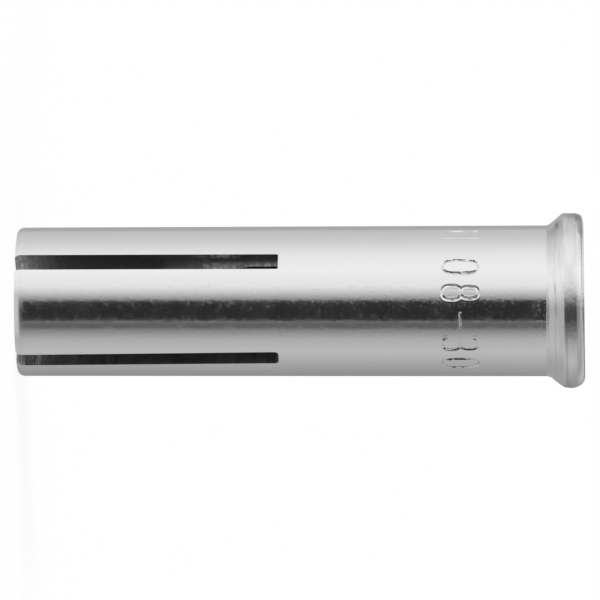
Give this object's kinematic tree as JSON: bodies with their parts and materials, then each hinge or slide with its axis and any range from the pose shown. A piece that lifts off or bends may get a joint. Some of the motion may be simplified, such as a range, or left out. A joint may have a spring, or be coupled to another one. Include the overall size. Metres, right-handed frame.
{
  "type": "drop-in anchor",
  "caption": "Lipped drop-in expansion anchor: a slotted steel sleeve with a tapped mouth and tapering bore, and a loose cone plug inside that spreads its legs.",
  "frame": {"origin": "centre of the slotted end's face, where the sleeve's axis meets the surface it stands on", "axes": "+Z along the sleeve's axis from the slotted end up to the lip, -Y towards the picture's camera and -X up in the picture"},
  "size_m": [0.0092, 0.0092, 0.03],
  "materials": {
    "zinc_plated_sleeve": "bright zinc plating over cold-formed steel",
    "plug_steel": "plain cold-headed steel"
  },
  "bodies": {
    "sleeve": {"anchor_sleeve": "zinc_plated_sleeve"},
    "plug": {"expander_plug": "plug_steel"}
  },
  "joints": [
    {"name": "plug_slide", "type": "slide", "parent": "sleeve", "child": "plug", "axis": [0, 0, 1], "range_m": [0, 0.0014]}
  ]
}
